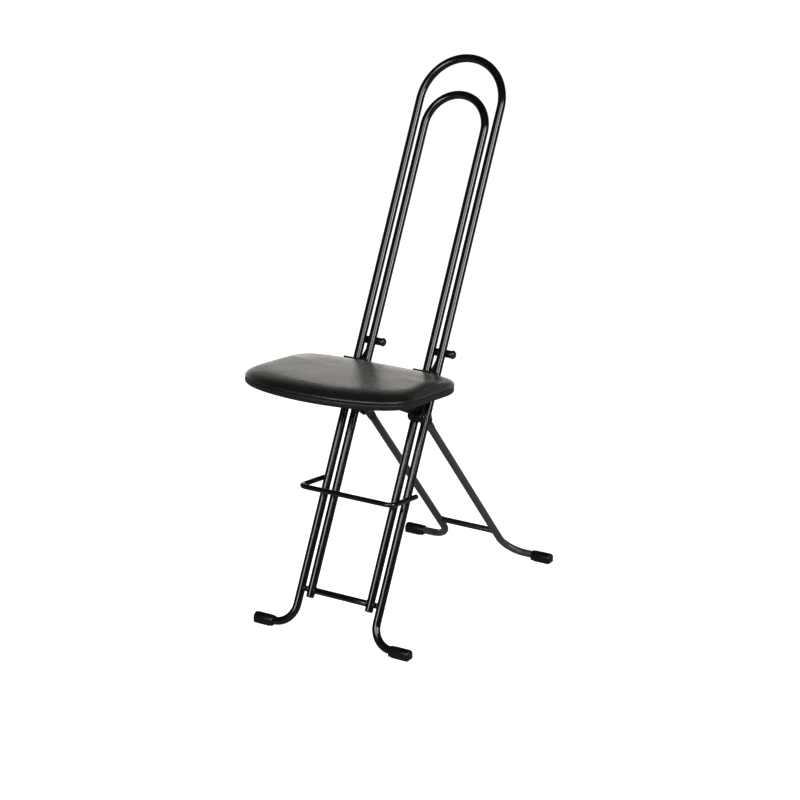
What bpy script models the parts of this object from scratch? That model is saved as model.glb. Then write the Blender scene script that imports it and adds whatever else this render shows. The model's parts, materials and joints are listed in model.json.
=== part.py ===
"""Folding work chair: a leaning frame of two hairpin tubes, a padded seat that
slides in the slots between them, a foot rail and a folding pair of rear legs.

Metres, +Z up, front faces -Y, origin at the centre of the footprint on the floor.
The driving dimensions are in millimetres; MM scales every mesh and location once.
Each piece is modelled in the frame of the empty that carries it:
frame_plane    local Z runs up the leaning frame, local Y points behind it
seat_carriage  the same directions, at the guides; the seat slides along its Z
seat_plane     local Y towards the back of the seat, local Z up from the pad's rim
rear_pivot     on the hinge of the rear legs; local Z runs up the legs
"""
import math

import bmesh
import bpy
from mathutils import Vector

MM = 0.001

# ---------------------------------------------------------------- driving dimensions (mm, deg)
Y0 = -242.4              # shifts the whole chair so that its footprint is centred on Y = 0
Z0 = -2.2                # and down, so that its soles are on Z = 0
LEAN = 26.33             # frame lean back from the vertical
FLOOR_H = 10.3           # height of every foot tube's centre line

TUBE_R = 8.0             # both hairpins: 16 mm tube
TUBE_WALL = 1.2
OUT_HALF = 89.8          # outer hairpin: half the distance between its legs
OUT_APEX = 1152.8        # along the frame, from the floor line to the loop's centre line
OUT_FOOT_R = 42.0        # bend that turns each end outwards
OUT_FOOT_X = 170.5       # end of the bent-out tube
IN_HALF = 66.4           # inner hairpin
IN_APEX = 1079.2
IN_END = 75.5            # where its open ends stop
GAP = 0.3                # clearance left between neighbouring solids

BAR_R = 6.35             # lower crossbar
BAR_S = 87.8
SPACER_R = 5.5

FOOT_LEN = 43.0
FOOT_HALF = 10.6
FOOT_TOP = 20.6
FOOT_PAST = 4.0          # rubber past the end of the tube

RAIL_R = 5.0             # foot rail rod
RAIL_HALF = OUT_HALF + TUBE_R + RAIL_R + GAP
RAIL_FRONT = (57.2, 278.2)   # y, z of the front bar before the Y0 and Z0 shifts
RAIL_BACK = (143.5, 268.7)
RAIL_BEND = 14.0

LEG_R = 7.5              # rear legs: 15 mm tube
LEG_WALL = 1.2
LEG_X = 66.5
LEG_FOOT_R = 44.0
LEG_FOOT_X = 169.0
PIVOT_S = 453.5          # rear pivot, along the frame and behind its plane
PIVOT_N = 41.0
REAR_Y = 560.9           # floor line of the rear feet, before the Y0 shift
TAB_W = 20.0             # flattened top end of each leg
TAB_T = 5.4
TAIL = 24.4              # pivot to the centre of the rounded end
FLAT_FROM = 38.0         # the tube flattens between these distances below the pivot
FLAT_TO = 18.0
REAR_BAR_R = 6.0
REAR_BAR_L = 72.4

PLATE = 3.0              # bracket steel
BASE_S = (443.5, 454.0)  # pivot bracket's base plate, along the frame
BASE_X = (60.0, 97.0)
EAR_X = 69.5             # inner face of the pivot bracket's ear
EAR = ((444.5, 10.3), (453.0, 10.3), (451.5, 25.0), (465.5, 33.0), (466.5, 47.0),
       (459.0, 54.0), (447.5, 54.0), (441.0, 49.5), (438.8, 41.0))
BOLT_R = 4.0
HEX = 13.0               # across flats

SEAT_W = 355.0
SEAT_D = 233.0
SEAT_FRONT_BULGE = 47.5
SEAT_BACK_BULGE = 9.0
SEAT_EXP = 6.1
SEAT_Y = 77.3            # centre of the seat outline, before the Y0 shift
SEAT_Z = 500.5           # height of the pad's widest line there
SEAT_TILT = 5.6          # back edge lower than the front edge
PAD_H = 15.5
ROLL_R = 8.0             # rounding of the pad's rim; the crown rises gently inside it
BOARD_BOTTOM = -15.0

SLOT_X = (OUT_HALF + IN_HALF) / 2.0     # middle of each slot
UP_S, UP_N, UP_R = 582.0, 15.8, 7.5     # upper guide: behind the tubes
LO_S, LO_N, LO_R = 451.5, -18.3, 10.0   # lower guide: in front of the tubes
GUIDE_EYE = 10.0                        # bracket radius round each guide bolt
# one guide bolt: sleeve radius, short sleeve, long sleeve, head radius, head height, nut height
GUIDES = {'upper': (UP_R, 20.0, 26.5, 8.7, 5.2, 3.6),
          'lower': (LO_R, 13.0, 15.8, 7.2, 4.0, 3.0)}

FLANGE_TOP = BOARD_BOTTOM - GAP
FLANGE_LOW = FLANGE_TOP - PLATE
FLANGE_V = (-60.0, 141.5)
FLANGE_HALF = 27.0
LIP_TOP = 5.0
SCREWS = {'front': (-18.0, -38.0), 'rear': (18.0, 78.0)}

SIDES = 16

A = math.radians(LEAN)
CA, SA = math.cos(A), math.sin(A)
T = math.radians(SEAT_TILT)
CT, ST = math.cos(T), math.sin(T)
TO_X = (0.0, math.pi / 2.0, 0.0)        # turn a piece modelled along +Z to point along +X
TO_MINUS_X = (0.0, -math.pi / 2.0, 0.0)
TURN_OVER = (math.pi, 0.0, 0.0)


def in_frame(y, z):
    """World y, z (before the Y0 and Z0 shifts) as distance behind and up the frame."""
    return y * CA - z * SA, y * SA + z * CA


def seat_in_frame(v, w):
    """A point of the seat plane as distance behind and up the frame."""
    return in_frame(SEAT_Y + v * CT + w * ST, SEAT_Z - v * ST + w * CT - Z0)


PIVOT_Y = PIVOT_S * SA + PIVOT_N * CA
PIVOT_Z = PIVOT_S * CA - PIVOT_N * SA + Z0
LEG_ANGLE = math.atan2(REAR_Y - PIVOT_Y, PIVOT_Z - FLOOR_H)
LEG_LEN = (PIVOT_Z - FLOOR_H) / math.cos(LEG_ANGLE)
FOOT_S = (FLOOR_H - Z0) / CA            # foot tubes, along the frame


# ---------------------------------------------------------------- scene helpers
for old in list(bpy.data.objects):
    bpy.data.objects.remove(old, do_unlink=True)


def material(name, colour, roughness, metallic=0.0):
    mat = bpy.data.materials.new(name)
    mat.use_nodes = True
    shader = mat.node_tree.nodes['Principled BSDF']
    shader.inputs['Base Color'].default_value = (*colour, 1.0)
    shader.inputs['Roughness'].default_value = roughness
    shader.inputs['Metallic'].default_value = metallic
    mat.diffuse_color = (*colour, 1.0)
    return mat


POWDER_COAT = material('black_powder_coat', (0.025, 0.025, 0.027), 0.22)
LEG_COAT = material('rear_leg_coat', (0.05, 0.05, 0.045), 0.38)
BRACKET_COAT = material('bracket_coat', (0.02, 0.02, 0.021), 0.35)
RUBBER = material('foot_rubber', (0.02, 0.02, 0.02), 0.65)
PLUG_PLASTIC = material('plug_plastic', (0.025, 0.025, 0.025), 0.5)
DULL_ZINC = material('dull_zinc', (0.42, 0.42, 0.40), 0.4, 1.0)
BLACK_STEEL = material('black_fastener', (0.03, 0.03, 0.03), 0.3, 0.6)
SLEEVE_PLASTIC = material('sleeve_plastic', (0.03, 0.03, 0.03), 0.42)
LEATHERETTE = material('black_leatherette', (0.022, 0.022, 0.021), 0.42)
BOARD_WRAP = material('board_wrap', (0.02, 0.02, 0.02), 0.5)


def add(name, data, parent, location=(0.0, 0.0, 0.0), rotation=(0.0, 0.0, 0.0), mat=None):
    """Link an object at a location (mm) in its parent's frame."""
    ob = bpy.data.objects.new(name, data)
    bpy.context.scene.collection.objects.link(ob)
    ob.parent = parent
    ob.location = Vector(location) * MM
    ob.rotation_euler = rotation
    if mat is not None:
        data.materials.append(mat)
    return ob


def empty(name, parent, location, turn):
    ob = add(name, None, parent, location, (turn, 0.0, 0.0))
    ob.empty_display_size = 0.05
    return ob


def boolean(ob, tool, operation='DIFFERENCE'):
    """Live Boolean; the tool stays in the scene as a wire guide."""
    tool.hide_render = True
    tool.display_type = 'WIRE'
    mod = ob.modifiers.new(tool.name, 'BOOLEAN')
    mod.operation = operation
    mod.solver = 'EXACT'
    mod.object = tool


# ---------------------------------------------------------------- mesh helpers
def to_mesh(bm, name):
    bmesh.ops.recalc_face_normals(bm, faces=bm.faces)
    bmesh.ops.scale(bm, vec=(MM, MM, MM), verts=bm.verts)
    mesh = bpy.data.meshes.new(name)
    bm.to_mesh(mesh)
    bm.free()
    mesh.shade_smooth()
    mesh.set_sharp_from_angle(angle=math.radians(35.0))
    return mesh


def skin(name, sections):
    """Join each section, a closed loop of points, to the next one, and cap both ends."""
    bm = bmesh.new()
    loops = [[bm.verts.new(p) for p in points] for points in sections]
    for near, far in zip(loops, loops[1:]):
        for i in range(len(near)):
            j = (i + 1) % len(near)
            bm.faces.new((near[i], near[j], far[j], far[i]))
    bm.faces.new(reversed(loops[0]))
    bm.faces.new(loops[-1])
    return to_mesh(bm, name)


def oval(centre, u, v, ru, rv, sides=SIDES, power=2.0):
    """An ellipse, squared off into a superellipse as power grows past 2."""
    points = []
    for i in range(sides):
        t = math.tau * i / sides
        c, s = math.cos(t), math.sin(t)
        c = math.copysign(abs(c) ** (2.0 / power), c)
        s = math.copysign(abs(s) ** (2.0 / power), s)
        points.append(centre + u * (ru * c) + v * (rv * s))
    return points


def turned(name, profile, sides=SIDES, ring=False):
    """Spin a profile of (height, radius) about Z; a ring closes on itself, a solid is capped."""
    bm = bmesh.new()
    verts = [bm.verts.new((radius, 0.0, height)) for height, radius in profile]
    edges = [bm.edges.new(pair) for pair in zip(verts, verts[1:])]
    if ring:
        edges.append(bm.edges.new((verts[-1], verts[0])))
    bmesh.ops.spin(bm, geom=verts + edges, cent=(0.0, 0.0, 0.0), axis=(0.0, 0.0, 1.0),
                   angle=math.tau, steps=sides, use_merge=True)
    bmesh.ops.remove_doubles(bm, verts=bm.verts, dist=0.001)
    if not ring:
        bmesh.ops.holes_fill(bm, edges=[e for e in bm.edges if e.is_boundary], sides=0)
    return to_mesh(bm, name)


def rod(name, radius, length, sides=SIDES):
    """A cylinder along Z, centred on its origin."""
    return turned(name, [(-length / 2.0, radius), (length / 2.0, radius)], sides)


def hexed(name, profile, sides=12):
    """Like turned(), where an entry (height, across flats, 'hex') is hexagonal."""
    sections = []
    for height, size, *shape in profile:
        points = []
        for i in range(sides):
            t = math.tau * i / sides
            r = size
            if shape:
                r = size / 2.0 / math.cos(math.pi / 6.0 * (1 - i % 2))
            points.append(Vector((r * math.cos(t), r * math.sin(t), height)))
        sections.append(points)
    return skin(name, sections)


def plate(name, outline, x0, x1):
    """A face in the Y-Z plane at x0, extruded to x1."""
    bm = bmesh.new()
    face = bm.faces.new([bm.verts.new((x0, y, z)) for y, z in outline])
    grown = bmesh.ops.extrude_face_region(bm, geom=[face])['geom']
    bmesh.ops.translate(bm, vec=(x1 - x0, 0.0, 0.0),
                        verts=[g for g in grown if isinstance(g, bmesh.types.BMVert)])
    return to_mesh(bm, name)


def block(name, size):
    bm = bmesh.new()
    bmesh.ops.create_cube(bm, size=1.0)
    bmesh.ops.scale(bm, vec=size, verts=bm.verts)
    return to_mesh(bm, name)


def bent_tube(name, path, radius, wall, sides=SIDES):
    """Bevelled curve through (x, z) points: an open tube that Solidify walls, or a capped rod."""
    curve = bpy.data.curves.new(name, 'CURVE')
    curve.dimensions = '3D'
    curve.bevel_depth = radius * MM
    curve.bevel_resolution = (sides - 4) // 2
    curve.use_fill_caps = not wall
    spline = curve.splines.new('POLY')
    spline.points.add(len(path) - 1)
    for point, (x, z) in zip(spline.points, path):
        point.co = (x * MM, 0.0, z * MM, 1.0)
    return curve


def wall(ob, thickness):
    mod = ob.modifiers.new('tube_wall', 'SOLIDIFY')
    mod.thickness = thickness * MM
    mod.offset = -1.0
    mod.use_even_offset = True


def arc(cx, cz, radius, start, end, steps):
    """Points round a centre, angles in degrees."""
    points = []
    for i in range(steps + 1):
        t = math.radians(start + (end - start) * i / steps)
        points.append((cx + radius * math.cos(t), cz + radius * math.sin(t)))
    return points


SIDE = {'left': -1, 'right': 1}
X, Y = Vector((1.0, 0.0, 0.0)), Vector((0.0, 1.0, 0.0))

# ---------------------------------------------------------------- empties that carry the pieces
chair = empty('chair', None, (0.0, 0.0, 0.0), 0.0)
frame_plane = empty('frame_plane', chair, (0.0, Y0, Z0), -A)
seat_carriage = empty('seat_carriage', frame_plane, (0.0, 0.0, UP_S), 0.0)
seat_n, seat_s = seat_in_frame(0.0, 0.0)
seat_plane = empty('seat_plane', seat_carriage, (0.0, seat_n, seat_s - UP_S), A - T)
rear_pivot = empty('rear_pivot', frame_plane, (0.0, PIVOT_N, PIVOT_S), A + LEG_ANGLE)

# ---------------------------------------------------------------- hairpin frame
loop_z = OUT_APEX - OUT_HALF
right_foot = arc(OUT_HALF + OUT_FOOT_R, FOOT_S + OUT_FOOT_R, OUT_FOOT_R, 270.0, 180.0, 8)
right_foot.insert(0, (OUT_FOOT_X, FOOT_S))
left_foot = [(-x, z) for x, z in reversed(right_foot)]
outer = bent_tube('outer_frame_tube', right_foot + arc(0.0, loop_z, OUT_HALF, 0.0, 180.0, 26) + left_foot,
                  TUBE_R, TUBE_WALL)
wall(add('outer_frame_tube', outer, frame_plane, mat=POWDER_COAT), TUBE_WALL)

inner = bent_tube('inner_frame_tube',
                  [(IN_HALF, IN_END)] + arc(0.0, IN_APEX - IN_HALF, IN_HALF, 0.0, 180.0, 22)
                  + [(-IN_HALF, IN_END)], TUBE_R, TUBE_WALL)
wall(add('inner_frame_tube', inner, frame_plane, mat=POWDER_COAT), TUBE_WALL)

bar = add('lower_crossbar', rod('lower_crossbar', BAR_R, 2.0 * IN_HALF), frame_plane,
          (0.0, 0.0, BAR_S), TO_X, POWDER_COAT)
for side, sx in SIDE.items():
    saddle_in = add('saddle_inner_' + side, rod('saddle_inner', TUBE_R + GAP, 60.0, 24), frame_plane,
                    (sx * IN_HALF, 0.0, BAR_S))
    saddle_out = add('saddle_outer_' + side, rod('saddle_outer', TUBE_R + GAP, 60.0, 24), frame_plane,
                     (sx * OUT_HALF, 0.0, BAR_S))
    boolean(bar, saddle_in)
    spacer = add('slot_spacer_' + side, rod('slot_spacer', SPACER_R, 20.0), frame_plane,
                 (sx * SLOT_X, 0.0, BAR_S), TO_X, POWDER_COAT)
    boolean(spacer, saddle_in)
    boolean(spacer, saddle_out)

    plug = turned('inner_tube_plug', [(-12.0, 5.9), (-11.0, 6.4), (GAP, 6.4), (GAP, 7.9), (1.6, 7.9),
                                      (2.7, 7.0), (3.2, 5.2)])
    add('inner_tube_plug_' + side, plug, frame_plane, (sx * IN_HALF, 0.0, IN_END), TURN_OVER, PLUG_PLASTIC)


# ---------------------------------------------------------------- feet
def foot(name, sx, drop):
    """Rubber foot modelled from its mouth outwards, origin on the tube's centre line;
    a round-topped block on a flat sole, with a slimmer collar at the mouth."""
    sections = []
    for d, k, rise in ((0.0, 0.91, 1.3), (0.8, 0.95, 1.0), (7.0, 0.95, 1.0), (7.0, 1.0, 0.0),
                       (FOOT_LEN - 4.0, 1.0, 0.0), (FOOT_LEN - 1.6, 0.96, 0.0),
                       (FOOT_LEN - 0.4, 0.90, 0.9), (FOOT_LEN, 0.82, 1.8)):
        half, sole = FOOT_HALF * k, rise - drop
        points = [(-half + 1.5, sole), (half - 1.5, sole), (half, sole + 1.5)]
        for i in range(11):
            t = math.pi * i / 10.0
            points.append((half * math.cos(t), (FOOT_TOP - FLOOR_H) * k * math.sin(t)))
        points.append((-half, sole + 1.5))
        sections.append([Vector((sx * d, y, z)) for y, z in points])
    return skin(name, sections)


front_bore = add('front_foot_bore', rod('front_foot_bore', TUBE_R + GAP, 2.0 * (OUT_FOOT_X + GAP), 20),
                 frame_plane, (0.0, 0.0, FOOT_S), TO_X)
rear_bore = add('rear_foot_bore', rod('rear_foot_bore', LEG_R + GAP, 2.0 * (LEG_FOOT_X + GAP), 20),
                rear_pivot, (0.0, 0.0, -LEG_LEN), TO_X)
for side, sx in SIDE.items():
    front = add('front_foot_' + side, foot('front_foot', sx, FLOOR_H), frame_plane,
                (sx * (OUT_FOOT_X + FOOT_PAST - FOOT_LEN), 0.0, FOOT_S), (A, 0.0, 0.0), RUBBER)
    boolean(front, front_bore)
    rear = add('rear_foot_' + side, foot('rear_foot', sx, FLOOR_H), rear_pivot,
               (sx * (LEG_FOOT_X + FOOT_PAST - FOOT_LEN), 0.0, -LEG_LEN), (-LEG_ANGLE, 0.0, 0.0), RUBBER)
    boolean(rear, rear_bore)

# ---------------------------------------------------------------- foot rail
rail_run = Vector((RAIL_BACK[0] - RAIL_FRONT[0], RAIL_BACK[1] - RAIL_FRONT[1]))
rail_turn = math.atan2(-rail_run.x, rail_run.y)      # local Z of the rail points back along it
rail_n, rail_s = in_frame(*RAIL_FRONT)
near = RAIL_HALF - RAIL_BEND
rail = bent_tube('foot_rail', [(RAIL_HALF, rail_run.length)] + arc(near, RAIL_BEND, RAIL_BEND, 0.0, -90.0, 6)
                 + arc(-near, RAIL_BEND, RAIL_BEND, -90.0, -180.0, 6) + [(-RAIL_HALF, rail_run.length)],
                 RAIL_R, 0.0, 12)
add('foot_rail', rail, frame_plane, (0.0, rail_n, rail_s), (A + rail_turn, 0.0, 0.0), POWDER_COAT)

# ---------------------------------------------------------------- rear pivot
pivot_hole = add('pivot_hole', rod('pivot_hole', BOLT_R + GAP, 160.0, 20), frame_plane,
                 (0.0, PIVOT_N, PIVOT_S), TO_X)
nut_hole = add('pivot_nut_hole', rod('pivot_nut_hole', BOLT_R + 0.15, 160.0, 24), frame_plane,
               (0.0, PIVOT_N, PIVOT_S), TO_X)
head_x = EAR_X + PLATE + GAP
nut_x = LEG_X - TAB_T / 2.0 - GAP
for side, sx in SIDE.items():
    inwards = TO_MINUS_X if sx > 0 else TO_X
    base_n = TUBE_R + GAP + PLATE / 2.0
    bracket = add('pivot_bracket_' + side,
                  block('pivot_bracket', (BASE_X[1] - BASE_X[0], PLATE, BASE_S[1] - BASE_S[0])), frame_plane,
                  (sx * sum(BASE_X) / 2.0, base_n, sum(BASE_S) / 2.0), mat=BRACKET_COAT)
    ear = plate('pivot_ear', [(n, s) for s, n in EAR], 0.0, sx * PLATE)
    boolean(bracket, add('pivot_ear_' + side, ear, frame_plane, (sx * EAR_X, 0.0, 0.0)), 'UNION')
    boolean(bracket, pivot_hole)

    bolt = hexed('pivot_bolt', [(0.0, 5.4), (0.6, HEX, 'hex'), (5.3, HEX, 'hex'), (5.3, BOLT_R),
                                (head_x + 5.3 - 56.0, BOLT_R)])
    add('pivot_bolt_' + side, bolt, frame_plane, (sx * (head_x + 5.3), PIVOT_N, PIVOT_S), inwards, DULL_ZINC)
    nut = hexed('pivot_nut', [(0.0, HEX, 'hex'), (4.9, HEX, 'hex'), (5.5, 5.6)])
    nut = add('pivot_nut_' + side, nut, frame_plane, (sx * nut_x, PIVOT_N, PIVOT_S), inwards, DULL_ZINC)
    boolean(nut, nut_hole)


# ---------------------------------------------------------------- rear legs
def rear_leg(name, sx):
    """Round tube bent out at the foot and flattened into a drilled, round-ended tab at the
    top; the bore stops where the flattening starts. Origin on the hinge axis."""
    outer, inner = [], []

    def ring(x, z, across, ru, rv, power=2.0):
        return oval(Vector((sx * x, 0.0, z - LEG_LEN)), across, Y, ru, rv, power=power)

    path = [(LEG_FOOT_X, 0.0)] + arc(LEG_X + LEG_FOOT_R, LEG_FOOT_R, LEG_FOOT_R, 270.0, 180.0, 8)
    for i, (x, z) in enumerate(path):
        t = math.radians(90.0 * max(i - 1, 0) / (len(path) - 2))
        across = Vector((-sx * math.sin(t), 0.0, -math.cos(t)))
        outer.append(ring(x, z, across, LEG_R, LEG_R))
        inner.append(ring(x, z, across, LEG_R - LEG_WALL, LEG_R - LEG_WALL))
    across = Vector((-sx, 0.0, 0.0))
    bore_end = LEG_LEN - FLAT_FROM - 3.0
    inner.append(ring(LEG_X, bore_end, across, LEG_R - LEG_WALL, LEG_R - LEG_WALL))
    for i in range(5):
        k = i / 4.0
        k = k * k * (3.0 - 2.0 * k)
        z = LEG_LEN - FLAT_FROM + (FLAT_FROM - FLAT_TO) * i / 4.0
        outer.append(ring(LEG_X, z, across, LEG_R + (TAB_T / 2.0 - LEG_R) * k,
                          LEG_R + (TAB_W / 2.0 - LEG_R) * k, 2.0 + 3.5 * k))
    for i in range(6):
        t = math.radians(78.0 * i / 5.0)
        outer.append(ring(LEG_X, LEG_LEN + TAIL + math.sin(t) * TAB_W / 2.0, across,
                          TAB_T / 2.0, math.cos(t) * TAB_W / 2.0, 5.5))
    # one skin: up the bore from its blind end, round the open rim, up the outside to the tab
    return skin(name, list(reversed(inner)) + outer)


rear_bar = add('rear_crossbar', rod('rear_crossbar', REAR_BAR_R, 2.0 * LEG_X), rear_pivot,
               (0.0, 0.0, REAR_BAR_L - LEG_LEN), TO_X, LEG_COAT)
for side, sx in SIDE.items():
    leg = add('rear_leg_' + side, rear_leg('rear_leg', sx), rear_pivot, mat=LEG_COAT)
    boolean(leg, pivot_hole)
    saddle = add('saddle_rear_' + side, rod('saddle_rear', LEG_R + GAP, 60.0, 24), rear_pivot,
                 (sx * LEG_X, 0.0, REAR_BAR_L - LEG_LEN))
    boolean(rear_bar, saddle)


# ---------------------------------------------------------------- seat
def outline(scale, inset, height, steps=64):
    """Rounded rectangle whose front edge bows forwards, shrunk by a scale or an inset."""
    points = []
    for i in range(steps):
        t = math.tau * (i + 0.5) / steps
        c, s = math.cos(t), math.sin(t)
        reach = (abs(c) ** SEAT_EXP + abs(s) ** SEAT_EXP) ** (-1.0 / SEAT_EXP)
        c, s = c * reach, s * reach
        bow = 1.0 - c * c
        x = (SEAT_W / 2.0 - inset) * c
        v = (SEAT_D / 2.0 - inset) * s + bow * (SEAT_BACK_BULGE * max(s, 0.0) - SEAT_FRONT_BULGE * max(-s, 0.0))
        points.append(Vector((x * scale, v * scale, height)))
    return points


board = add('seat_board', skin('seat_board', [outline(1.0, 4.4, BOARD_BOTTOM), outline(1.0, 1.6, BOARD_BOTTOM + 1.2),
                                              outline(1.0, 0.2, BOARD_BOTTOM + 4.0), outline(1.0, 0.2, -3.3)]),
            seat_plane, mat=BOARD_WRAP)

pad = [outline(1.0, 2.6, -3.0), outline(1.0, 1.0, -2.3), outline(1.0, 0.2, -1.1), outline(1.0, 0.0, 0.0)]
for degrees in (16.0, 32.0, 48.0, 64.0, 78.0):
    t = math.radians(degrees)
    inset, rise = ROLL_R * (1.0 - math.cos(t)), ROLL_R * math.sin(t)
    pad.append(outline(1.0, inset, rise))
for k in (0.96, 0.9, 0.82, 0.72, 0.58, 0.4):
    pad.append(outline(k, inset, rise + (PAD_H - rise) * (1.0 - k ** 4)))
add('seat_pad', skin('seat_pad', pad), seat_plane, mat=LEATHERETTE)


def in_carriage(points):
    """Points (behind, up) of the frame as seen from the seat carriage."""
    return [(n, s - UP_S) for n, s in points]


def around(n, s, radius, start, step, count):
    """Points round a guide bolt, angles measured from up the frame towards its back."""
    angles = [math.radians(start + step * i) for i in range(count)]
    return [(n + radius * math.sin(t), s + radius * math.cos(t)) for t in angles]


flange = [seat_in_frame(v, w) for v, w in (
    (FLANGE_V[0], FLANGE_TOP), (FLANGE_V[1] - PLATE, FLANGE_TOP), (FLANGE_V[1] - PLATE, LIP_TOP),
    (FLANGE_V[1], LIP_TOP), (FLANGE_V[1], FLANGE_LOW), (FLANGE_V[0], FLANGE_LOW))]
web = ([seat_in_frame(FLANGE_V[0] + 4.0, FLANGE_LOW + 1.0), seat_in_frame(FLANGE_V[1] - 1.0, FLANGE_LOW + 1.0),
        seat_in_frame(FLANGE_V[1] - 1.0, FLANGE_LOW + 9.0), (-2.0, 547.0), (8.0, 567.0)]
       + around(UP_N, UP_S, GUIDE_EYE, -115.0, 25.0, 10)
       + [(16.0, 545.0), (12.5, 475.0), (12.5, 454.6), (1.0, 454.6), (-10.5, 446.5)]
       + around(LO_N, LO_S, GUIDE_EYE, 125.0, 29.0, 6))

guide_holes = [add(tag + '_guide_hole', rod(tag + '_guide_hole', BOLT_R + GAP, 200.0, 20), seat_carriage,
                   (0.0, n, s - UP_S), TO_X) for tag, s, n in (('upper', UP_S, UP_N), ('lower', LO_S, LO_N))]

for side, sx in SIDE.items():
    bracket = add('seat_bracket_' + side, plate('seat_bracket', in_carriage(flange), -FLANGE_HALF, FLANGE_HALF),
                  seat_carriage, (sx * SLOT_X, 0.0, 0.0), mat=BRACKET_COAT)
    rib = add('seat_web_' + side, plate('seat_web', in_carriage(web), -PLATE / 2.0, PLATE / 2.0),
              seat_carriage, (sx * SLOT_X, 0.0, 0.0))
    boolean(bracket, rib, 'UNION')
    for hole in guide_holes:
        boolean(bracket, hole)

    for end, (dx, v) in SCREWS.items():
        x = sx * (SLOT_X + dx)
        drill = turned('screw_hole', [(FLANGE_LOW - 4.0, 3.0), (BOARD_BOTTOM - 0.15, 3.0),
                                      (BOARD_BOTTOM - 0.15, 2.8), (BOARD_BOTTOM + 7.0, 2.8)])
        drill = add('screw_hole_%s_%s' % (end, side), drill, seat_plane, (x, v, 0.0))
        boolean(bracket, drill)
        boolean(board, drill)
        screw = turned('seat_screw', [(0.0, 2.6), (0.5, 4.6), (1.6, 5.4), (2.6, 5.5), (2.6, 2.5),
                                      (11.6, 2.5), (12.6, 1.4)])
        add('seat_screw_%s_%s' % (end, side), screw, seat_plane, (x, v, FLANGE_LOW - GAP - 2.6), mat=DULL_ZINC)

    # Both bolts go in from the +X side: head and longer sleeve on +X, low nut on -X.
    for tag, (radius, short, long_, big, tall, low) in GUIDES.items():
        n, s = (UP_N, 0.0) if tag == 'upper' else (LO_N, LO_S - UP_S)
        start = PLATE / 2.0 + GAP
        for part, turn, reach in (('a', TO_MINUS_X, short), ('b', TO_X, long_)):
            sleeve = turned('sleeve', [(start, BOLT_R + GAP), (start, radius - 0.8), (start + 0.8, radius),
                                       (reach - 0.8, radius), (reach, radius - 0.8), (reach, BOLT_R + GAP)],
                            20, ring=True)
            add('%s_sleeve_%s_%s' % (tag, part, side), sleeve, seat_carriage, (sx * SLOT_X, n, s), turn,
                SLEEVE_PLASTIC)
        shank = long_ + short + 2.0 * GAP + 1.9
        bolt = turned('guide_bolt', [(-tall, big * 0.42), (-tall * 0.84, big * 0.74), (-tall * 0.45, big * 0.93),
                                     (-0.6, big), (0.0, big), (0.0, BOLT_R), (shank, BOLT_R)], 20)
        add('%s_guide_bolt_%s' % (tag, side), bolt, seat_carriage, (sx * SLOT_X + long_ + GAP, n, s), TO_MINUS_X,
            BLACK_STEEL)
        nut = turned('guide_nut', [(0.0, big), (low * 0.4, big), (low * 0.8, big * 0.86), (low, big * 0.6)], 20)
        nut = add('%s_guide_nut_%s' % (tag, side), nut, seat_carriage, (sx * SLOT_X - short - GAP, n, s),
                  TO_MINUS_X, BLACK_STEEL)
        thread = add('%s_nut_thread_%s' % (tag, side), rod('nut_thread', BOLT_R + 0.15, 6.1, 20), seat_carriage,
                     (sx * SLOT_X - short - GAP + 0.95, n, s), TO_X)
        boolean(nut, thread)
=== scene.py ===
"""Looks of the folding work chair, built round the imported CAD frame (metres, front faces -Y)."""
import json
import math

import bmesh
import bpy
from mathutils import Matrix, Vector, noise

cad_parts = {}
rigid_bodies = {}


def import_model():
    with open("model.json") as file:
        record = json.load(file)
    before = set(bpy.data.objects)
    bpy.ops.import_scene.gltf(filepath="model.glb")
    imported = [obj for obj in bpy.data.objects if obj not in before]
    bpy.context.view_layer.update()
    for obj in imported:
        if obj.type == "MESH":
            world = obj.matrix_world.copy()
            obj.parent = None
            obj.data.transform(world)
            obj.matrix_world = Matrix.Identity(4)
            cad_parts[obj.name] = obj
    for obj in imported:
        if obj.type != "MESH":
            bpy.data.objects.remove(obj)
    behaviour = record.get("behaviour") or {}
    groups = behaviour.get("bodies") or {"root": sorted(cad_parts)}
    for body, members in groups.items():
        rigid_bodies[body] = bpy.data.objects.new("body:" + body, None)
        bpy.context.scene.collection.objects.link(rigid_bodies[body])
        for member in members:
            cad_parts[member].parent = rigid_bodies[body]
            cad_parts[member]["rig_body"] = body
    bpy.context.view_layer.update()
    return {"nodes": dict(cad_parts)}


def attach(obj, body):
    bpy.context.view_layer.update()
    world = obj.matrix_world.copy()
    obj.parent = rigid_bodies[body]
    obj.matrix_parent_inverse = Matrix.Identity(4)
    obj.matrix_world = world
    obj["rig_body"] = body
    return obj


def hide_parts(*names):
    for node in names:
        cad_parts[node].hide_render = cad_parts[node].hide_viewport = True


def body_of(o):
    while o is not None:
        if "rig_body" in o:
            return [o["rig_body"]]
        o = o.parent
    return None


for old in list(bpy.data.objects):
    bpy.data.objects.remove(old, do_unlink=True)
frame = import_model()

MM = 0.001
X = Vector((1, 0, 0))
SIDE = {"left": -1, "right": 1}

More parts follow.
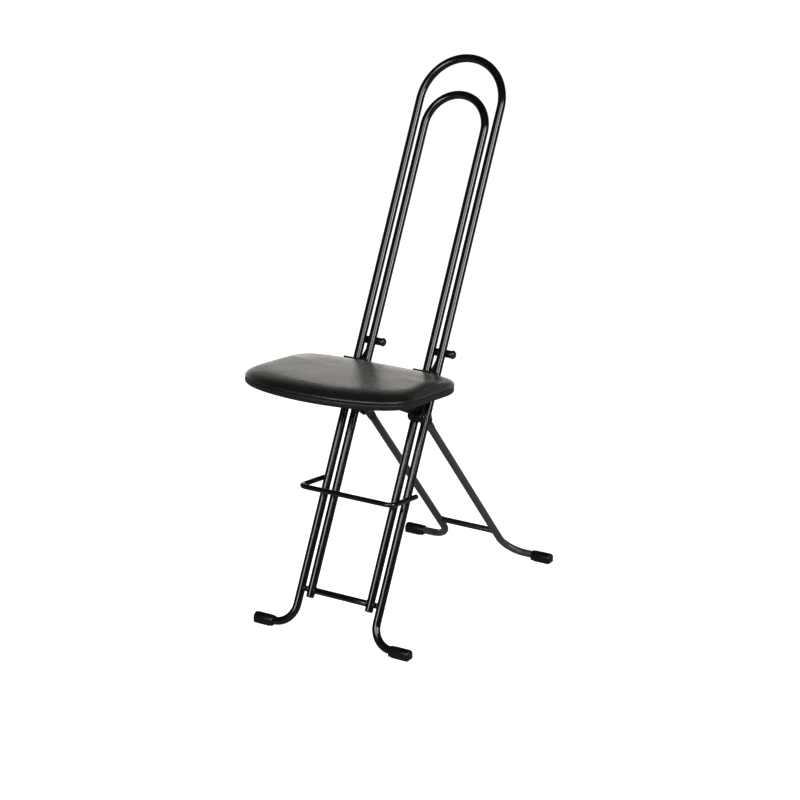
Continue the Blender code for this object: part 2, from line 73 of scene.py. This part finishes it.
# ------------------------------------------------------------------ the chair's planes
# The same few dimensions as the CAD source, in millimetres and degrees.
Y0, Z0 = -242.4, -2.2                # foot of the leaning frame plane
LEAN, SEAT_TILT = math.radians(26.33), math.radians(5.6)
GAP = 0.3                            # between neighbouring solids
FLOOR_H = 10.3                       # height of every foot tube's centre line
TUBE_R, OUT_HALF, OUT_APEX, OUT_FOOT_R, OUT_FOOT_X = 8.0, 89.8, 1152.8, 42.0, 170.5
IN_HALF, IN_APEX, IN_END = 66.4, 1079.2, 75.5
BAR_R, BAR_S = 6.35, 87.8
RAIL_R, RAIL_BEND = 5.0, 14.0
RAIL_HALF = OUT_HALF + TUBE_R + RAIL_R + GAP
RAIL_FRONT, RAIL_BACK = (57.2, 278.2), (143.5, 268.7)
LEG_R, LEG_X, LEG_FOOT_R, LEG_FOOT_X = 7.5, 66.5, 44.0, 169.0
PIVOT_S, PIVOT_N, REAR_Y = 453.5, 41.0, 560.9
TAB_W, TAB_T, TAIL, FLAT_FROM, FLAT_TO = 20.0, 5.4, 24.4, 38.0, 18.0
REAR_BAR_R, REAR_BAR_L = 6.0, 72.4
SEAT_W, SEAT_D, SEAT_Y, SEAT_Z = 355.0, 233.0, 77.3, 500.5
FRONT_BOW, BACK_BOW, SEAT_EXP = 47.5, 9.0, 6.1
PAD_H, BOARD_BOTTOM = 15.5, -15.0    # above and below the board's top
FRONT_ROLL = {"depth": 50.0, "height": 15.9, "end": (4.0, 8.5), "crown": 0.9, "power": 5.0}
BACK_ROLL = {"depth": 8.0, "height": 8.0, "end": (0.0, 11.3), "crown": PAD_H - 7.85, "power": 4}
SIDE_DEPTH = 0.7                     # the roll at the sides, as a share of the front's
SLOT_X = (OUT_HALF + IN_HALF) / 2
FOOT_S = (FLOOR_H - Z0) / math.cos(LEAN)


def plane(y, z, turn):
    """A leaning plane: place(x, n, s) with n behind it and s up it, in mm."""
    back = Vector((0, math.cos(turn), -math.sin(turn)))
    up = Vector((0, math.sin(turn), math.cos(turn)))

    def place(x, n, s):
        return (Vector((x, y, z)) + back * n + up * s) * MM

    return place, back, up


on_frame, BACK, UP = plane(Y0, Z0, LEAN)
on_seat, SEAT_BACK, SEAT_UP = plane(SEAT_Y + Y0, SEAT_Z, SEAT_TILT)
pivot = on_frame(0, PIVOT_N, PIVOT_S) / MM
LEG_TURN = -math.atan2(REAR_Y + Y0 - pivot.y, pivot.z - FLOOR_H)
LEG_LEN = (pivot.z - FLOOR_H) / math.cos(LEG_TURN)
on_leg, LEG_BACK, LEG_UP = plane(REAR_Y + Y0, FLOOR_H, LEG_TURN)

# ------------------------------------------------------------------ camera
AZIMUTH, ELEVATION = math.radians(31.76), math.radians(18.38)
AIM, DISTANCE = Vector((0.1128, -0.1726, 0.4809)), 4.2323
towards = Vector((math.sin(AZIMUTH) * math.cos(ELEVATION), -math.cos(AZIMUTH) * math.cos(ELEVATION),
                  math.sin(ELEVATION)))
camera = bpy.data.objects.new("camera", bpy.data.cameras.new("camera"))
bpy.context.scene.collection.objects.link(camera)
bpy.context.scene.camera = camera
camera.data.sensor_width, camera.data.lens = 36.0, 104.29
camera.location = AIM + towards * DISTANCE
camera.rotation_euler = (math.pi / 2 - ELEVATION, 0, AZIMUTH)


# ------------------------------------------------------------------ materials
class Look:
    """One procedural material: a Principled shader fed by small node helpers."""

    def __init__(self, name, **sockets):
        self.mat = bpy.data.materials.new(name)
        self.mat.use_nodes = True
        self.tree = self.mat.node_tree
        self.shader = self.tree.nodes["Principled BSDF"]
        for socket, value in sockets.items():
            self.shader.inputs[socket.replace("_", " ")].default_value = value
        self.coords = self.tree.nodes.new("ShaderNodeTexCoord").outputs["Object"]
        self.height = None

    def node(self, kind, inputs=(), **settings):
        made = self.tree.nodes.new("ShaderNode" + kind)
        for key, value in settings.items():
            setattr(made, key, value)
        for key, value in dict(inputs).items():
            if isinstance(value, bpy.types.NodeSocket):
                self.tree.links.new(value, made.inputs[key])
            else:
                made.inputs[key].default_value = value
        return made

    def noise(self, scale, detail=2.0, rough=0.5, distort=0.0, stretch=None):
        vector = self.coords
        if stretch:
            vector = self.node("Mapping", {"Vector": vector, "Scale": stretch}).outputs[0]
        inputs = {"Vector": vector, "Scale": scale, "Detail": detail, "Roughness": rough,
                  "Distortion": distort}
        return self.node("TexNoise", inputs).outputs["Fac"]

    def remap(self, value, low, high, to_low, to_high):
        inputs = {"Value": value, "From Min": low, "From Max": high, "To Min": to_low, "To Max": to_high}
        return self.node("MapRange", inputs).outputs[0]

    def math(self, operation, a, b=0.0):
        return self.node("Math", {0: a, 1: b}, operation=operation).outputs[0]

    def colour(self, factor, a, b):
        mix = self.node("Mix", data_type="RGBA")
        for key, value in ((0, factor), (6, a), (7, b)):
            if isinstance(value, bpy.types.NodeSocket):
                self.tree.links.new(value, mix.inputs[key])
            else:
                mix.inputs[key].default_value = (*value, 1.0) if isinstance(value, tuple) else value
        return mix.outputs[2]

    def feed(self, socket, value):
        self.tree.links.new(value, self.shader.inputs[socket])

    def bump(self, height, distance, strength=1.0):
        inputs = {"Height": height, "Distance": distance, "Strength": strength}
        if self.height is not None:
            inputs["Normal"] = self.height
        self.height = self.node("Bump", inputs).outputs[0]
        self.feed("Normal", self.height)


def coat(name, base, speck, rough, peel=0.00003, scuff=0.0, shine=0.5):
    """Powder coat: orange peel, uneven gloss, faint dust and hair scuffs."""
    look = Look(name, Specular_IOR_Level=shine, IOR=1.5)
    cloud = look.noise(38, 4, 0.6)
    dust = look.remap(look.noise(2600, 3, 0.7), 0.62, 0.8, 0.0, 0.5)
    tint = look.colour(look.remap(cloud, 0.35, 0.7, 0.0, 0.6), base, speck)
    tint = look.colour(dust, tint, tuple(min(1.0, c * 2.2) for c in speck))
    gloss = look.remap(cloud, 0.3, 0.7, rough[0], rough[1])
    if scuff:
        lines = look.remap(look.noise(420, 5, 0.65, 0.4, (6.0, 1.0, 0.25)), 0.66, 0.8, 0.0, scuff)
        tint = look.colour(lines, tint, tuple(c * 4 for c in speck))
        gloss = look.math("ADD", gloss, look.math("MULTIPLY", lines, 0.35))
    look.feed("Base Color", tint)
    look.feed("Roughness", gloss)
    look.bump(look.noise(620, 2, 0.4), peel)
    return look.mat


def rubber(name, base, dusty, rough):
    """Moulded rubber or plastic with a fine matt texture and settled dust."""
    look = Look(name, Specular_IOR_Level=0.3)
    cloud = look.noise(90, 5, 0.65)
    look.feed("Base Color", look.colour(look.remap(cloud, 0.4, 0.75, 0.0, 0.8), base, dusty))
    look.feed("Roughness", look.remap(cloud, 0.3, 0.7, rough[0], rough[1]))
    look.bump(look.noise(1500, 4, 0.7), 0.00005)
    return look.mat


def metal(name, base, dark, rough, metallic=1.0):
    """Plated or blackened steel with turning marks and dull patches."""
    look = Look(name, Metallic=metallic)
    cloud = look.noise(240, 5, 0.7)
    look.feed("Base Color", look.colour(look.remap(cloud, 0.35, 0.7, 0.0, 1.0), base, dark))
    look.feed("Roughness", look.remap(cloud, 0.3, 0.75, rough[0], rough[1]))
    look.bump(look.noise(900, 3, 0.6, 0.2, (0.3, 3.0, 3.0)), 0.00003)
    return look.mat


def leatherette(name, base, worn, rough, grain=1.0, shine=0.5):
    """Embossed vinyl: pebbled grain with fine creases, softly uneven below."""
    look = Look(name, Specular_IOR_Level=shine, IOR=1.5, Sheen_Weight=0.02, Sheen_Roughness=0.5)
    warp = look.node("TexNoise", {"Vector": look.coords, "Scale": 160.0, "Detail": 2.0}).outputs["Color"]
    shift = look.node("VectorMath", {0: warp, 1: (0.006, 0.006, 0.006)}, operation="MULTIPLY").outputs[0]
    vector = look.node("VectorMath", {0: look.coords, 1: shift}, operation="ADD").outputs[0]
    cells = look.node("TexVoronoi", {"Vector": vector, "Scale": 620.0, "Randomness": 0.95},
                      feature="DISTANCE_TO_EDGE").outputs["Distance"]
    pebble = look.remap(cells, 0.0, 0.16, 0.0, 1.0)
    cloud = look.noise(16, 3, 0.55)
    patches = look.remap(look.noise(300, 4, 0.6), 0.35, 0.7, 0.0, 1.0)
    look.feed("Base Color", look.colour(patches, base, worn))
    gloss = look.math("ADD", look.remap(pebble, 0.0, 1.0, rough[1] + 0.1, rough[0]),
                      look.remap(cloud, 0.3, 0.7, -0.03, 0.04))
    look.feed("Roughness", gloss)
    look.bump(look.noise(30, 3, 0.5), 0.0002, 0.5)
    look.bump(pebble, 0.00006 * grain)
    look.bump(look.noise(2600, 3, 0.6), 0.00002 * grain)
    return look.mat


LOOKS = {
    "black_powder_coat": coat(
        "enamel_black", (0.0025, 0.0025, 0.0027), (0.005, 0.005, 0.0052), (0.10, 0.17)),
    "foot_rail_coat": coat(
        "enamel_black_scuffed", (0.0025, 0.0025, 0.0027), (0.006, 0.006, 0.006), (0.12, 0.20), scuff=0.25),
    "rear_leg_coat": coat(
        "enamel_grey_olive", (0.039, 0.0395, 0.0345), (0.054, 0.0545, 0.048), (0.34, 0.44), 0.00004),
    # a darker copy of the legs' olive coat for the rear crossbar: the extra darkness is painted shade, not
    # a different paint
    "rear_bar_coat": coat(
        "enamel_grey_olive_painted_shade", (0.011, 0.0112, 0.0100), (0.018, 0.0183, 0.0165), (0.30, 0.40), 0.00004),
    "bracket_coat": coat(
        "enamel_bracket", (0.0030, 0.0030, 0.0030), (0.006, 0.006, 0.006), (0.26, 0.36), 0.00004,
        scuff=0.2, shine=0.3),
    "foot_rubber": rubber(
        "rubber_foot", (0.0022, 0.0022, 0.0022), (0.0075, 0.0075, 0.007), (0.26, 0.42)),
    "plug_plastic": rubber(
        "plastic_plug", (0.005, 0.005, 0.005), (0.010, 0.010, 0.010), (0.38, 0.5)),
    "sleeve_plastic": rubber(
        "plastic_sleeve", (0.0035, 0.0035, 0.0035), (0.007, 0.007, 0.007), (0.26, 0.36)),
    "dull_zinc": metal(
        "steel_dull", (0.20, 0.20, 0.19), (0.12, 0.12, 0.115), (0.34, 0.5)),
    "black_fastener": metal(
        "steel_black", (0.006, 0.006, 0.006), (0.012, 0.012, 0.012), (0.16, 0.26), 0.3),
    "black_leatherette": leatherette(
        "vinyl_seat", (0.0045, 0.0045, 0.0045), (0.0075, 0.0075, 0.007), (0.19, 0.26)),
    "dust_cloth": rubber(
        "cloth_dust", (0.008, 0.008, 0.008), (0.014, 0.014, 0.014), (0.85, 0.95)),
    "board_wrap": leatherette(
        "vinyl_hem", (0.004, 0.004, 0.004), (0.007, 0.007, 0.0065), (0.38, 0.46), 1.3, 0.28),
}


# ------------------------------------------------------------------ mesh helpers
def piece(bm, name, body, look, replaces=(), smooth=40.0):
    """Finish a bmesh as a piece that rides on a body."""
    bmesh.ops.recalc_face_normals(bm, faces=bm.faces)
    mesh = bpy.data.meshes.new(name)
    bm.to_mesh(mesh)
    bm.free()
    mesh.shade_smooth()
    mesh.set_sharp_from_angle(angle=math.radians(smooth))
    ob = bpy.data.objects.new(name, mesh)
    bpy.context.scene.collection.objects.link(ob)
    mesh.materials.append(LOOKS[look])
    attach(ob, body)
    if replaces:
        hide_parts(*([replaces] if isinstance(replaces, str) else replaces))
    return ob


def skin(bm, loops, cap=True, closed=False):
    """Join rings of points into one surface."""
    rings = [[bm.verts.new(p) for p in ring] for ring in loops]
    for near, far in zip(rings, rings[1:] + (rings[:1] if closed else [])):
        for i in range(len(near)):
            j = (i + 1) % len(near)
            bm.faces.new((near[i], near[j], far[j], far[i]))
    if cap and not closed:
        bm.faces.new(rings[0][::-1])
        bm.faces.new(rings[-1])
    return bm


def oval(centre, u, v, ru, rv, sides, power=2.0):
    ring = []
    for i in range(sides):
        c, s = math.cos(math.tau * i / sides), math.sin(math.tau * i / sides)
        c, s = (math.copysign(abs(k) ** (2 / power), k) for k in (c, s))
        ring.append(centre + (u * (ru * c) + v * (rv * s)) * MM)
    return ring


def arc(cx, cz, radius, start, end, steps):
    """Points round a centre with the angle at which the path runs there."""
    turn = 90 if end > start else -90
    return [(cx + radius * math.cos(math.radians(t)), cz + radius * math.sin(math.radians(t)), t + turn)
            for t in (start + (end - start) * i / steps for i in range(steps + 1))]


def sweep(path, place, normal, up, radius, sides=32):
    """A round bar along (x, s, heading) points of a plane, ends capped."""
    bm = bmesh.new()
    rings = []
    for x, s, heading in path:
        h = math.radians(heading)
        across = X * -math.sin(h) + up * math.cos(h)
        rings.append(oval(place(x, 0, s), across, normal, radius, radius, sides))
    return skin(bm, rings)


EDGE = 0.25                          # eased edge on every carried-over solid


def refined(node, look):
    """A CAD node with its triangles joined into clean faces, its edges eased and its rounds smooth."""
    source = frame["nodes"][node]
    bm = bmesh.new()
    bm.from_mesh(source.data)
    bmesh.ops.remove_doubles(bm, verts=bm.verts, dist=2e-6)
    bmesh.ops.dissolve_limit(bm, angle_limit=math.radians(0.6), verts=bm.verts, edges=bm.edges)
    edges = [e for e in bm.edges if e.is_manifold and e.calc_face_angle(0) > math.radians(38)]
    bmesh.ops.bevel(bm, geom=edges, offset=EDGE * MM, segments=2, profile=0.6, affect="EDGES",
                    clamp_overlap=True)
    return piece(bm, node + "_fine", body_of(source)[0], look, node)


# ------------------------------------------------------------------ frame tubes
right_foot = ([(OUT_FOOT_X, FOOT_S, 180)]
              + arc(OUT_HALF + OUT_FOOT_R, FOOT_S + OUT_FOOT_R, OUT_FOOT_R, 270, 180, 18))
left_foot = [(-x, s, -h) for x, s, h in reversed(right_foot)]
outer_path = right_foot + arc(0, OUT_APEX - OUT_HALF, OUT_HALF, 0, 180, 72) + left_foot
piece(sweep(outer_path, on_frame, BACK, UP, TUBE_R), "outer_hairpin", "frame", "black_powder_coat",
      "outer_frame_tube")
inner_path = ([(IN_HALF, IN_END, 90)] + arc(0, IN_APEX - IN_HALF, IN_HALF, 0, 180, 64)
              + [(-IN_HALF, IN_END, 270)])
piece(sweep(inner_path, on_frame, BACK, UP, TUBE_R), "inner_hairpin", "frame", "black_powder_coat",
      "inner_frame_tube")

rail_run = Vector((0, RAIL_BACK[0] - RAIL_FRONT[0], RAIL_BACK[1] - RAIL_FRONT[1]))
rail_len, rail_up = rail_run.length, rail_run.normalized()


def on_rail(x, n, s):
    """The foot rail's plane, with s from its front bar back along its arms."""
    return (Vector((x, RAIL_FRONT[0] + Y0, RAIL_FRONT[1] + Z0)) + rail_up * s) * MM


near = RAIL_HALF - RAIL_BEND
rail_path = ([(RAIL_HALF, rail_len, -90)] + arc(near, RAIL_BEND, RAIL_BEND, 0, -90, 16)
             + arc(-near, RAIL_BEND, RAIL_BEND, -90, -180, 16) + [(-RAIL_HALF, rail_len, 90)])
piece(sweep(rail_path, on_rail, X.cross(rail_up), rail_up, RAIL_R, 24), "foot_rail_rod", "frame",
      "foot_rail_coat", "foot_rail")


# ------------------------------------------------------------------ rear legs
def leg_rings(sx):
    """Rings of a rear leg from its foot end to the rounded tab at the top."""
    def ring(x, s, across, ru, rv, power=2.0):
        return oval(on_leg(sx * x, 0, s), across, LEG_BACK, ru, rv, 32, power)

    rings = [ring(LEG_FOOT_X, 0, -LEG_UP, LEG_R, LEG_R)]
    for x, s, heading in arc(LEG_X + LEG_FOOT_R, LEG_FOOT_R, LEG_FOOT_R, 270, 180, 18):
        h = math.radians(heading)
        rings.append(ring(x, s, X * (-sx * math.sin(h)) + LEG_UP * math.cos(h), LEG_R, LEG_R))
    across = X * -sx
    for i in range(13):
        k = i / 12
        k = k * k * (3 - 2 * k)
        rings.append(ring(LEG_X, LEG_LEN - FLAT_FROM + (FLAT_FROM - FLAT_TO) * i / 12, across,
                          LEG_R + (TAB_T / 2 - LEG_R) * k, LEG_R + (TAB_W / 2 - LEG_R) * k, 2 + 3.5 * k))
    for i in range(11):
        t = math.radians(8.2 * i)
        rings.append(ring(LEG_X, LEG_LEN + TAIL + math.sin(t) * TAB_W / 2, across,
                          TAB_T / 2 - 0.25 * (i == 10), math.cos(t) * TAB_W / 2, 5.5))
    return rings


for side, sx in SIDE.items():
    piece(skin(bmesh.new(), leg_rings(sx)), "rear_leg_tube_" + side, "rear_legs", "rear_leg_coat",
          "rear_leg_" + side)


# ------------------------------------------------------------------ welds
def fillet(bm, centre, axis, radius, width, lumps, seed):
    """A weld bead: a lumpy ring round a bar where it meets a tube."""
    u = axis.orthogonal().normalized()
    v = axis.cross(u)
    rings = []
    for i in range(lumps * 6):
        t = math.tau * i / (lumps * 6)
        out = u * math.cos(t) + v * math.sin(t)
        swell = 1 + 0.22 * abs(math.sin(t * lumps / 2 + seed)) + 0.1 * noise.noise(out * 3 + axis * seed)
        rings.append(oval(centre + out * (radius * MM), out, axis, width * swell * 0.55, width * swell, 8))
    skin(bm, rings, closed=True)


def welds(name, body, look, spots):
    bm = bmesh.new()
    for seed, (centre, axis, radius, width) in enumerate(spots):
        fillet(bm, centre, axis, radius, width, 9, seed * 1.7)
    piece(bm, name, body, look)


BEAD, SPACER_R = 1.5, 5.5
frame_spots = []
for sx in (-1, 1):
    for x, r in ((IN_HALF - TUBE_R + 0.5, BAR_R), (IN_HALF + TUBE_R - 0.6, SPACER_R),
                 (OUT_HALF - TUBE_R + 0.6, SPACER_R)):
        frame_spots.append((on_frame(sx * x, 0, BAR_S), X, r, BEAD))
welds("frame_welds", "frame", "black_powder_coat", frame_spots)
welds("rear_leg_welds", "rear_legs", "rear_leg_coat",
      [(on_leg(sx * (LEG_X - LEG_R + 0.5), 0, REAR_BAR_L), X, REAR_BAR_R, BEAD) for sx in (-1, 1)])


# ------------------------------------------------------------------ seat
def seat_outline(scale, inset, height, steps):
    """The seat's plan: a rounded rectangle whose front edge bows forwards."""
    ring = []
    for i in range(steps):
        t = math.tau * (i + 0.5) / steps
        c, s = math.cos(t), math.sin(t)
        reach = (abs(c) ** SEAT_EXP + abs(s) ** SEAT_EXP) ** (-1 / SEAT_EXP)
        c, s = c * reach, s * reach
        bow = (1 - c * c) * (BACK_BOW * max(s, 0) - FRONT_BOW * max(-s, 0))
        ring.append(((SEAT_W / 2 - inset) * c * scale, ((SEAT_D / 2 - inset) * s + bow) * scale, height))
    return ring


STEPS = 288                          # points round the seat
RIM = [(1, 3.4, -2.8), (1, 2.4, -2.75), (1, 1.3, -2.4), (1, 0.5, -1.6), (1, 0.1, -0.7)]
CROWN_SCALES = (0.985, 0.965, 0.94, 0.91, 0.88, 0.84, 0.8, 0.75, 0.7, 0.64, 0.58, 0.5, 0.4, 0.3, 0.2, 0.1,
                0.05, 0.02)


def ease(value):
    """A smooth step from 0 to 1."""
    value = max(0.0, min(1.0, value))
    return value * value * (3 - 2 * value)


def pad_profile(depth, height, end, crown, power):
    """(scale, inset, height) from under the rim, over an oval roll, to the middle of the crown."""
    levels = list(RIM)
    for i in range(17):
        t = math.radians(90 - end[0] - (90 - end[0] - end[1]) * i / 16)
        inset = depth * (math.cos(math.radians(end[0])) - math.sin(t))
        rise = PAD_H - crown - height * (math.cos(math.radians(end[1])) - math.cos(t))
        levels.append((1, inset, rise))
    for k in CROWN_SCALES:
        levels.append((k, inset, rise + (PAD_H - rise) * (1 - k ** power)))
    return levels


def stretched(x, v, roll):
    """Pull of the cover over the foam: soft unevenness, and short folds gathered at the corners' hem."""
    wave = noise.noise(Vector((x, v, 3.0)) * 0.011) * 0.7 + noise.noise(Vector((x, v, 9.0)) * 0.035) * 0.16
    folds = 0.0
    if roll > 0:
        corner = max(0.0, 1 - math.hypot(abs(x) - 150, abs(v + 15) - 88) / 70)
        waver = 2 * noise.noise(Vector((x, v, 0)) * 0.05)
        folds = roll * corner * 0.35 * math.sin(math.atan2(v, x) * 150 + waver)
    return wave + folds


# a wide soft roll at the front and sides, a tighter one along the back edge
bm = bmesh.new()
rings = []
for soft, tight in zip(pad_profile(**FRONT_ROLL), pad_profile(**BACK_ROLL)):
    ring = []
    for x, v, w in seat_outline(1, 0, 0, STEPS):
        back = ease((v / (SEAT_D / 2) - 0.35) / 0.5)
        scale, inset, height = (a + (b - a) * back for a, b in zip(soft, tight))
        aside = min(inset, RIM[0][1]) + SIDE_DEPTH * max(0.0, inset - RIM[0][1])
        x_share = max(-1.0, min(1.0, x / (SEAT_W / 2)))
        v_share = max(-1.0, min(1.0, v / (SEAT_D / 2)))
        x, v = (x - aside * x_share) * scale, (v - inset * v_share) * scale
        top = max(0.0, min(1.0, height / PAD_H))
        lift = stretched(x, v, max(0.0, 1 - abs(height + 1.2) / 5))
        out = Vector((x, v)).normalized() * (lift * 0.25 * (1 - top))
        ring.append(on_seat(x + out.x, v + out.y, height + lift * top * top))
    rings.append(ring)
cushion = piece(skin(bm, rings), "seat_cushion", "seat", "black_leatherette", "seat_pad", smooth=80)

# the cover's lower band wraps the board and is turned under it: (inset, height) round its section
BAND = [(3.4, -3.0), (1.5, -3.1), (0.5, -3.7), (0.15, -5.0), (0.15, -9.5), (0.8, -12.3), (2.2, -14.0),
        (4.6, -14.8), (9.0, -14.95), (20.0, -14.95), (21.0, -14.8), (21.4, -14.3), (21.0, -13.2),
        (12.0, -9.0)]
bm = bmesh.new()
rings = []
for inset, height in BAND:
    ring = []
    for x, v, w in seat_outline(1, inset, height, STEPS):
        under = max(0.0, min(1.0, (inset - 3.0) / 6)) * (height < -14.2)
        corner = max(0.0, 1 - math.hypot(abs(x) - 150, abs(v + 15) - 84) / 46)
        pleat = under * corner * abs(math.sin(math.atan2(v, x) * 60)) ** 0.6
        ring.append(on_seat(x, v, w + pleat * 0.8))
    rings.append(ring)
piece(skin(bm, rings, closed=True), "seat_hem", "seat", "board_wrap", "seat_board", smooth=60)

# black dust cloth over the board's underside, its edge under the turned cover: (scale, height)
CLOTH_INSET = 17.0
bm = bmesh.new()
cloth = []
for scale, height in ((1, -13.9), (1, -14.2), (0.8, -14.3), (0.4, -14.3), (0.02, -14.3)):
    cloth.append([on_seat(x, v, w + 0.12 * noise.noise(Vector((x, v, 0)) * 0.03))
                  for x, v, w in seat_outline(scale, CLOTH_INSET, height, 96)])
piece(skin(bm, cloth), "dust_cloth", "seat", "dust_cloth", smooth=60)

# staples that hold the cover and the cloth, none under the brackets
STAPLE_HALF, STAPLE_ENDS = 4.6, 4.2
bm = bmesh.new()
for i, (x, v, w) in enumerate(seat_outline(1, 17.6, BOARD_BOTTOM, 34)):
    if abs(abs(x) - SLOT_X) < 34 and v > -70:
        continue
    along = (X * -v + SEAT_BACK * x).normalized()
    across = along.cross(SEAT_UP)
    spin = 0.25 * noise.noise(Vector((i * 1.7, 0, 0)))
    length = (along * math.cos(spin) + across * math.sin(spin)) * MM
    width = across * math.cos(spin) - along * math.sin(spin)
    middle = on_seat(x, v, w)
    skin(bm, [oval(middle + length * k, width, SEAT_UP, 0.5, 0.24, 8)
              for k in (-STAPLE_HALF, -STAPLE_ENDS, STAPLE_ENDS, STAPLE_HALF)])
piece(bm, "seat_staples", "seat", "dull_zinc")

# ------------------------------------------------------------------ the other solids
# the rear crossbar wears the darker copy of the legs' coat: painted shade
refined("rear_crossbar", "rear_bar_coat")
for node, source in frame["nodes"].items():
    if not source.hide_render:
        slot = source.data.materials[0].name
        refined(node, slot if slot in LOOKS else "bracket_coat")

# ------------------------------------------------------------------ studio
FLOOR, FLOOR_Z, PALE = 40.0, -0.0004, (0.95, 0.95, 0.95, 1)
mesh = bpy.data.meshes.new("floor")
mesh.from_pydata([(-FLOOR, -FLOOR, FLOOR_Z), (FLOOR, -FLOOR, FLOOR_Z), (FLOOR, FLOOR, FLOOR_Z),
                  (-FLOOR, FLOOR, FLOOR_Z)], [], [(0, 1, 2, 3)])
floor = bpy.data.objects.new("floor", mesh)
bpy.context.scene.collection.objects.link(floor)
mesh.materials.append(Look("floor", Base_Color=PALE, Roughness=0.8, Emission_Color=PALE,
                           Emission_Strength=1.05).mat)
floor.visible_glossy = floor.visible_diffuse = False     # the boxes and the world alone light the chair


def softbox(name, turn, rise, distance, size, radiance):
    """A rectangular light seen from the chair at an angle right of the front and above the floor."""
    t, e = math.radians(turn), math.radians(rise)
    away = Vector((math.sin(t) * math.cos(e), -math.cos(t) * math.cos(e), math.sin(e)))
    light = bpy.data.lights.new(name, "AREA")
    light.shape, light.size, light.size_y = "RECTANGLE", size[0], size[1]
    light.energy = radiance * math.pi * size[0] * size[1]
    ob = bpy.data.objects.new(name, light)
    bpy.context.scene.collection.objects.link(ob)
    ob.location = Vector((0, 0, 0.5)) + away * distance
    ob.rotation_euler = away.to_track_quat("Z", "Y").to_euler()
    ob.visible_camera = False


softbox("key", 27, 34, 3.5, (1.9, 1.6), 6.0)
softbox("key_low", -5, 17, 3.4, (1.0, 1.2), 11.0)
softbox("side", 76, 24, 3.0, (0.9, 1.4), 15.0)

world = bpy.data.worlds.new("studio")
bpy.context.scene.world = world
world.use_nodes = True
tree = world.node_tree


def world_node(kind, inputs, **settings):
    made = tree.nodes.new("ShaderNode" + kind)
    for key, value in settings.items():
        setattr(made, key, value)
    for key, value in inputs.items():
        if isinstance(value, bpy.types.NodeSocket):
            tree.links.new(value, made.inputs[key])
        else:
            made.inputs[key].default_value = value
    return made.outputs


def fade(value, low, high):
    """0 at low and 1 at high, with soft ends."""
    inputs = {"Value": value, "From Min": low, "From Max": high, "To Min": 0.0, "To Max": 1.0}
    return world_node("MapRange", inputs, interpolation_type="SMOOTHSTEP")[0]


def product(a, b):
    return world_node("Math", {0: a, 1: b}, operation="MULTIPLY")[0]


# a pale wall low behind the chair, dark above and in front; plain white where it is looked at directly
look_to = tree.nodes.new("ShaderNodeTexCoord").outputs["Generated"]
behind = world_node("VectorMath", {0: look_to, 1: (-0.50, 0.866, 0.0)}, operation="DOT_PRODUCT")["Value"]
rise = world_node("SeparateXYZ", {0: look_to})[2]
glow = product(fade(behind, 0.35, 0.95), product(fade(rise, 0.265, 0.175), fade(rise, -0.25, -0.05)))
ground = world_node("Math", {0: fade(rise, 0.0, -0.12), 1: 0.24, 2: 0.015}, operation="MULTIPLY_ADD")[0]
level = world_node("Math", {0: glow, 1: 1.5, 2: ground}, operation="MULTIPLY_ADD")[0]
wall = world_node("Background", {"Color": (1.0, 0.965, 0.90, 1), "Strength": level})[0]
seen = world_node("Background", {"Color": (1, 1, 1, 1), "Strength": 1.0})[0]
straight = tree.nodes.new("ShaderNodeLightPath").outputs["Is Camera Ray"]
mixed = world_node("MixShader", {0: straight, 1: wall, 2: seen})[0]
tree.links.new(mixed, tree.nodes["World Output"].inputs["Surface"])
bpy.context.scene.view_settings.view_transform = "Standard"
